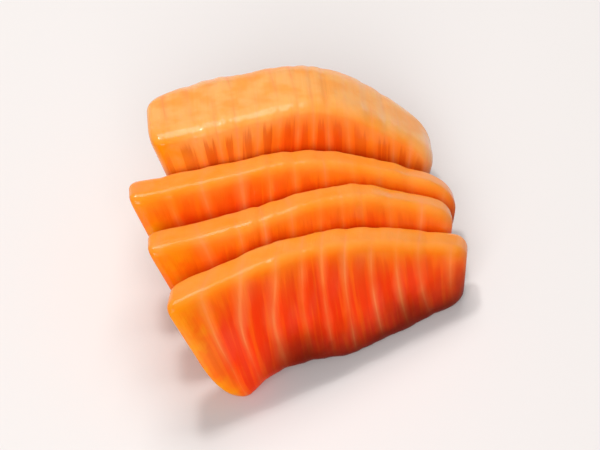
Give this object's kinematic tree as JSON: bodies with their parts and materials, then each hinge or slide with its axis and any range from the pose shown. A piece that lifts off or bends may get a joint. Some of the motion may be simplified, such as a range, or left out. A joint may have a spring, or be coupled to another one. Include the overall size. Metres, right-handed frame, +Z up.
{
  "type": "salmon sashimi",
  "caption": "Thick raw salmon slices cut from one block, still leaning on one another in the order they were cut.",
  "frame": {"origin": "on the plate or table under the middle of the slices, at the bottom centre of their box", "axes": "+Z up, +X along the slices from their thick end to their thin end, +Y from the front slice to the end of the block"},
  "size_m": [0.0896, 0.081, 0.0378],
  "materials": {
    "slice_front_flesh": "wet, softly glossy and slightly translucent orange flesh with paler lines of fat",
    "slice_second_flesh": "wet, softly glossy and slightly translucent orange flesh with paler lines of fat",
    "slice_third_flesh": "wet, softly glossy and slightly translucent orange flesh with paler lines of fat",
    "slice_end_flesh": "wet, softly glossy orange flesh under a wide pale orange layer of fat"
  },
  "bodies": {
    "root": {"slice_front": "slice_front_flesh", "slice_second": "slice_second_flesh", "slice_third": "slice_third_flesh", "slice_end": "slice_end_flesh"}
  },
  "joints": []
}
